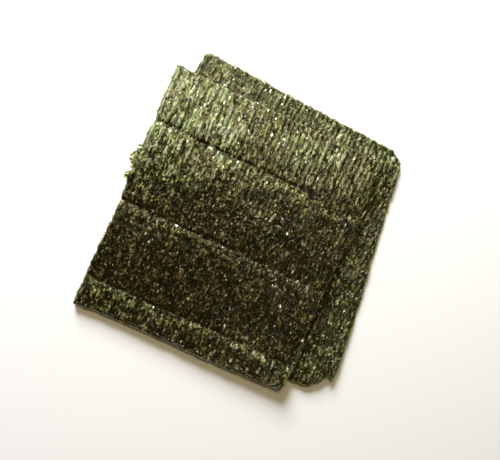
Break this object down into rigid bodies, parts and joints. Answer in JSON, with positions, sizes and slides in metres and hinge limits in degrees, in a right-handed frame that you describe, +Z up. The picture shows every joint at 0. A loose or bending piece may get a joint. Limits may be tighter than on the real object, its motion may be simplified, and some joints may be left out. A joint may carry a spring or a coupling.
{
  "type": "nori sheet",
  "caption": "Thin crisp sheet of pressed dried seaweed folded double over one crease, with fine mat ribs, string furrows, ragged rims and a torn corner.",
  "frame": {"origin": "middle of the footprint, at the level of the table that the sheet lies on", "axes": "+X along the crease towards its torn, raised end; +Y along the fine ribs, away from the crease; +Z up"},
  "size_m": [0.118, 0.117, 0.005],
  "materials": {
    "nori_seaweed": "satin"
  },
  "bodies": {
    "root": {"nori_sheet": "nori_seaweed"}
  },
  "joints": []
}
